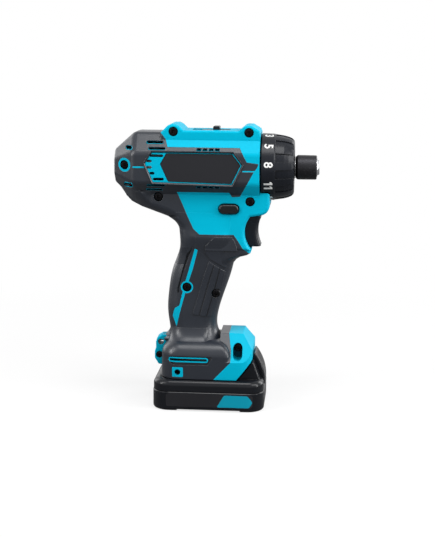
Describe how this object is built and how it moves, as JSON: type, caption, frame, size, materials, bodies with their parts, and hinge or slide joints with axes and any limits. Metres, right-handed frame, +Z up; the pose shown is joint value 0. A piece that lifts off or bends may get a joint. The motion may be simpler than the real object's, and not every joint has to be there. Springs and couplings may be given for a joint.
{
  "type": "cordless drill driver",
  "caption": "Compact cordless drill driver with pistol grip, trigger, reversing and speed levers, torque ring, hex quick-change chuck and slide-on battery foot.",
  "frame": {"origin": "on the floor under the middle of the tool's length, in the plane where the housing halves meet", "axes": "+X forward along the spindle towards the bit, +Y to the tool's left, +Z up"},
  "size_m": [0.154, 0.066, 0.215],
  "materials": {
    "cyan_nylon": "fine-grained moulded nylon in bright blue-green",
    "grip_rubber": "soft dark grey overmould with a fine grain",
    "black_nylon": "near-black moulded nylon, satin",
    "black_screw": "black zinc coating",
    "plate_film": "bare dark film, satin",
    "brass": "turned",
    "lamp_lens": "frosted clear polycarbonate",
    "circuit_board": "solder mask",
    "steel": "ground",
    "sintered_steel": "sintered gear steel, oiled",
    "die_cast": "die cast, bare",
    "motor_steel": "zinc-plated deep-drawn steel",
    "ferrite": "sintered ferrite",
    "copper": "enamelled copper",
    "carbon": "graphite block",
    "wire_red": "insulated lead",
    "cell_wrap": "shrink-wrapped cell",
    "dark_grey_nylon": "satin moulded nylon"
  },
  "bodies": {
    "housing": {"right_housing": "cyan_nylon", "left_housing": "cyan_nylon", "right_grip_cover": "grip_rubber", "left_grip_cover": "grip_rubber", "housing_screws": "black_screw", "nameplate": "plate_film", "hook_nuts": "brass", "lamp_lens": "lamp_lens", "lamp_board": "circuit_board", "switch_body": "black_nylon", "trigger_spring": "steel", "gear_case": "die_cast", "gearbox_end_plate": "steel", "ring_gear_1": "sintered_steel", "clutch_ring_gear": "sintered_steel", "clutch_balls": "steel", "clutch_spring": "steel", "ring_keeper": "black_screw", "motor_can": "motor_steel", "motor_magnets": "ferrite", "motor_end_cap": "black_nylon", "carbon_brushes": "carbon", "bearings": "brass", "terminal_block": "black_nylon", "terminal_blades": "brass", "lead_wires": "wire_red"},
    "armature": {"armature_shaft": "steel", "armature_core": "sintered_steel", "armature_windings": "copper", "cooling_fan": "black_nylon"},
    "carrier_1": {"carrier_1": "sintered_steel"},
    "carrier_2": {"carrier_2": "sintered_steel"},
    "spindle": {"spindle": "steel", "bit_ball": "steel", "snap_ring": "steel", "sleeve_spring": "steel"},
    "trigger": {"trigger": "black_nylon"},
    "reversing_lever": {"reversing_lever": "black_nylon"},
    "speed_lever": {"speed_lever": "black_nylon", "shift_fork": "steel", "sliding_ring_gear": "sintered_steel"},
    "clutch_ring": {"clutch_ring": "black_nylon"},
    "spring_retainer": {"spring_retainer": "black_nylon"},
    "chuck_sleeve": {"chuck_sleeve": "dark_grey_nylon"},
    "battery": {"battery_lower_case": "black_nylon", "battery_upper_case": "black_nylon", "battery_cells": "cell_wrap", "battery_board": "circuit_board", "battery_clips": "brass", "battery_screws": "black_screw"},
    "release_button": {"release_button": "black_nylon"},
    "planet_1a": {"planet_1a": "sintered_steel"},
    "planet_1b": {"planet_1b": "sintered_steel"},
    "planet_1c": {"planet_1c": "sintered_steel"},
    "planet_2a": {"planet_2a": "sintered_steel"},
    "planet_2b": {"planet_2b": "sintered_steel"},
    "planet_2c": {"planet_2c": "sintered_steel"},
    "planet_3a": {"planet_3a": "sintered_steel"},
    "planet_3b": {"planet_3b": "sintered_steel"},
    "planet_3c": {"planet_3c": "sintered_steel"}
  },
  "joints": [
    {"name": "armature_spin", "type": "hinge", "parent": "housing", "child": "armature", "pos_m": [0, 0, 0.183], "axis": [1, 0, 0], "continuous": true},
    {"name": "carrier_1_spin", "type": "hinge", "parent": "housing", "child": "carrier_1", "pos_m": [0, 0, 0.183], "axis": [1, 0, 0], "continuous": true},
    {"name": "carrier_2_spin", "type": "hinge", "parent": "housing", "child": "carrier_2", "pos_m": [0, 0, 0.183], "axis": [1, 0, 0], "continuous": true},
    {"name": "spindle_spin", "type": "hinge", "parent": "housing", "child": "spindle", "pos_m": [0, 0, 0.183], "axis": [1, 0, 0], "continuous": true},
    {"name": "planet_1a_spin", "type": "hinge", "parent": "carrier_1", "child": "planet_1a", "pos_m": [-0.0075, 0.01013, 0.183], "axis": [1, 0, 0], "continuous": true},
    {"name": "planet_1b_spin", "type": "hinge", "parent": "carrier_1", "child": "planet_1b", "pos_m": [-0.0075, -0.00506, 0.19177], "axis": [1, 0, 0], "continuous": true},
    {"name": "planet_1c_spin", "type": "hinge", "parent": "carrier_1", "child": "planet_1c", "pos_m": [-0.0075, -0.00506, 0.17423], "axis": [1, 0, 0], "continuous": true},
    {"name": "planet_2a_spin", "type": "hinge", "parent": "carrier_2", "child": "planet_2a", "pos_m": [0.00325, 0.01013, 0.183], "axis": [1, 0, 0], "continuous": true},
    {"name": "planet_2b_spin", "type": "hinge", "parent": "carrier_2", "child": "planet_2b", "pos_m": [0.00325, -0.00506, 0.19177], "axis": [1, 0, 0], "continuous": true},
    {"name": "planet_2c_spin", "type": "hinge", "parent": "carrier_2", "child": "planet_2c", "pos_m": [0.00325, -0.00506, 0.17423], "axis": [1, 0, 0], "continuous": true},
    {"name": "planet_3a_spin", "type": "hinge", "parent": "spindle", "child": "planet_3a", "pos_m": [0.01455, 0.01013, 0.183], "axis": [1, 0, 0], "continuous": true},
    {"name": "planet_3b_spin", "type": "hinge", "parent": "spindle", "child": "planet_3b", "pos_m": [0.01455, -0.00506, 0.19177], "axis": [1, 0, 0], "continuous": true},
    {"name": "planet_3c_spin", "type": "hinge", "parent": "spindle", "child": "planet_3c", "pos_m": [0.01455, -0.00506, 0.17423], "axis": [1, 0, 0], "continuous": true},
    {"name": "sleeve_pull", "type": "slide", "parent": "spindle", "child": "chuck_sleeve", "axis": [1, 0, 0], "range_m": [0, 0.004], "stiffness_N_per_m": 2000, "springref_m": -0.002, "deforming": ["sleeve_spring"]},
    {"name": "clutch_ring_turn", "type": "hinge", "parent": "housing", "child": "clutch_ring", "pos_m": [0.046, 0, 0.183], "axis": [1, 0, 0], "range_deg": [-252, 45]},
    {"name": "retainer_travel", "type": "slide", "parent": "clutch_ring", "child": "spring_retainer", "axis": [1, 0, 0], "range_m": [-0.0056, 0.0011], "deforming": ["clutch_spring"]},
    {"name": "speed_shift", "type": "slide", "parent": "housing", "child": "speed_lever", "axis": [1, 0, 0], "range_m": [-0.0065, 0]},
    {"name": "reversing_push", "type": "slide", "parent": "housing", "child": "reversing_lever", "axis": [0, 1, 0], "range_m": [-0.0035, 0.0035]},
    {"name": "trigger_pull", "type": "slide", "parent": "housing", "child": "trigger", "axis": [-1, 0, 0], "range_m": [0, 0.0065], "stiffness_N_per_m": 1200, "springref_m": -0.003, "deforming": ["trigger_spring"]},
    {"name": "battery_slide", "type": "slide", "parent": "housing", "child": "battery", "axis": [1, 0, 0], "range_m": [0, 0.08]},
    {"name": "release_press", "type": "slide", "parent": "battery", "child": "release_button", "axis": [0.352, 0, -0.936], "range_m": [0, 0.003], "stiffness_N_per_m": 1500, "springref_m": -0.002}
  ],
  "couplings": [
    {"joint": "carrier_1_spin", "follows": "armature_spin", "ratio": 0.27778},
    {"joint": "carrier_2_spin", "follows": "armature_spin", "ratio": 0.07716},
    {"joint": "spindle_spin", "follows": "armature_spin", "ratio": 0.021433},
    {"joint": "planet_1a_spin", "follows": "armature_spin", "ratio": -0.90278},
    {"joint": "planet_1b_spin", "follows": "armature_spin", "ratio": -0.90278},
    {"joint": "planet_1c_spin", "follows": "armature_spin", "ratio": -0.90278},
    {"joint": "planet_2a_spin", "follows": "armature_spin", "ratio": -0.25077},
    {"joint": "planet_2b_spin", "follows": "armature_spin", "ratio": -0.25077},
    {"joint": "planet_2c_spin", "follows": "armature_spin", "ratio": -0.25077},
    {"joint": "planet_3a_spin", "follows": "armature_spin", "ratio": -0.069659},
    {"joint": "planet_3b_spin", "follows": "armature_spin", "ratio": -0.069659},
    {"joint": "planet_3c_spin", "follows": "armature_spin", "ratio": -0.069659},
    {"joint": "retainer_travel", "follows": "clutch_ring_turn", "m_per_rad": 0.0012414}
  ]
}
